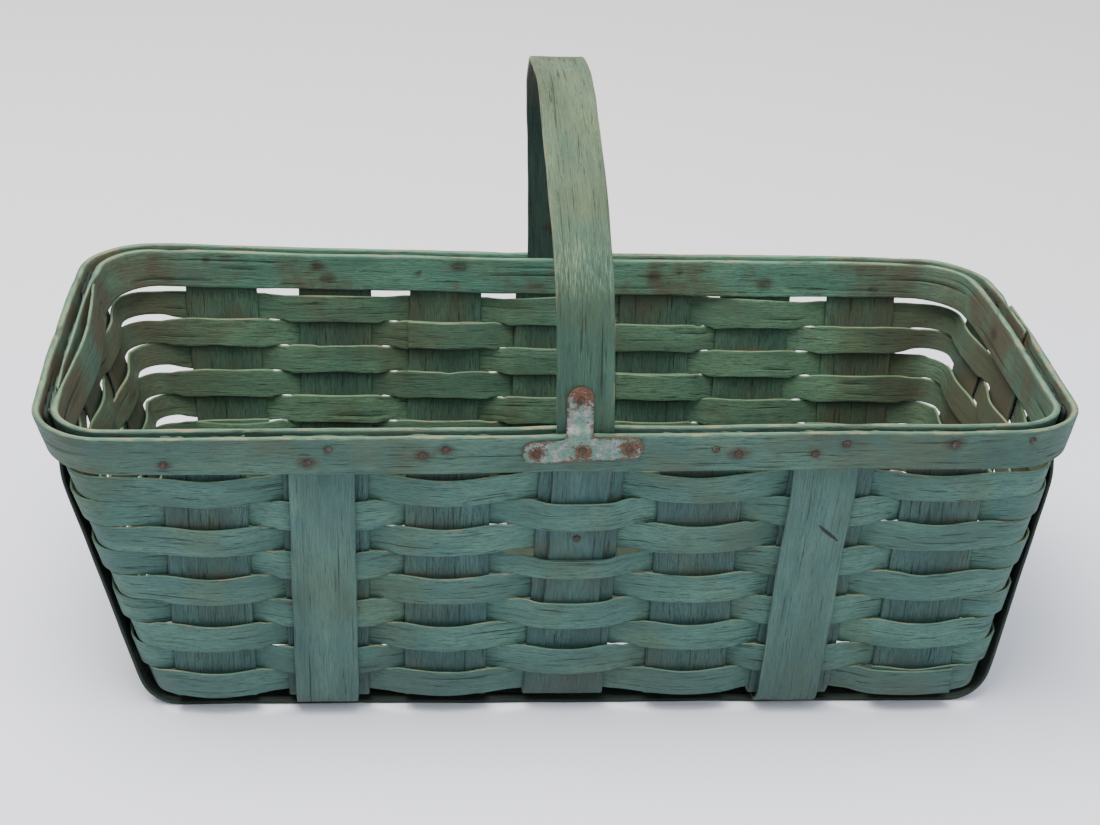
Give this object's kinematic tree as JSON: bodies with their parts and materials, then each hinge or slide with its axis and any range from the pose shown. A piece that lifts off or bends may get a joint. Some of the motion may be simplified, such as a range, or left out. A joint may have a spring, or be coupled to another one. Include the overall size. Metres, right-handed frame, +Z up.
{
  "type": "splint gathering basket",
  "caption": "Rectangular woven splint basket with flared walls, a nailed bentwood rim, a hoop handle across the middle and flat runners to stand on.",
  "frame": {"origin": "middle of the footprint, on the surface the runners stand on", "axes": "+X along the basket's length, +Y toward its back long side, +Z up"},
  "size_m": [0.56, 0.2744, 0.3383],
  "materials": {
    "stave": "worn matt green paint with dark vertical grain",
    "weaver": "worn matt blue-green paint with pale edges",
    "strap": "smooth matt blue-green paint with fine grain",
    "runner": "dark worn green paint, nearly black",
    "rim": "worn satin green paint, dirt in the grain",
    "handle": "worn satin sage-green paint, bare tan wood at the edges",
    "brace": "rusted steel with flaking green and silver paint",
    "nail": "dark rusted iron"
  },
  "bodies": {
    "root": {"cross_stave_a": "stave", "cross_stave_b": "stave", "cross_stave_c": "stave", "cross_stave_d": "stave", "cross_stave_e": "stave", "cross_stave_f": "stave", "cross_stave_g": "stave", "long_stave_front": "stave", "long_stave_middle": "stave", "long_stave_back": "stave", "weaver_row_1": "weaver", "weaver_row_2": "weaver", "weaver_row_3": "weaver", "weaver_row_4": "weaver", "weaver_row_5": "weaver", "weaver_row_6": "weaver", "weaver_row_7": "weaver", "weaver_row_8": "weaver", "weaver_row_9": "weaver", "overlay_strap_left": "strap", "overlay_strap_right": "strap", "runner_front": "runner", "runner_back": "runner", "outer_rim": "rim", "inner_rim": "rim", "handle": "handle", "t_brace_front": "brace", "t_brace_back": "brace", "rim_nail_01": "nail", "rim_nail_02": "nail", "rim_nail_03": "nail", "rim_nail_04": "nail", "rim_nail_05": "nail", "rim_nail_06": "nail", "rim_nail_07": "nail", "rim_nail_08": "nail", "rim_nail_09": "nail", "rim_nail_10": "nail", "rim_nail_11": "nail", "rim_nail_12": "nail", "rim_nail_13": "nail", "rim_nail_14": "nail", "rim_nail_15": "nail", "rim_nail_16": "nail", "rim_nail_17": "nail", "rim_nail_18": "nail", "rim_nail_19": "nail", "rim_nail_20": "nail", "rim_nail_21": "nail", "rim_nail_corner": "nail", "brace_nail_front_1": "nail", "brace_nail_front_2": "nail", "brace_nail_front_3": "nail", "tab_nail_front": "nail", "tail_nail_front": "nail", "brace_nail_back_1": "nail", "brace_nail_back_2": "nail", "brace_nail_back_3": "nail", "tab_nail_back": "nail", "tail_nail_back": "nail"}
  },
  "joints": []
}
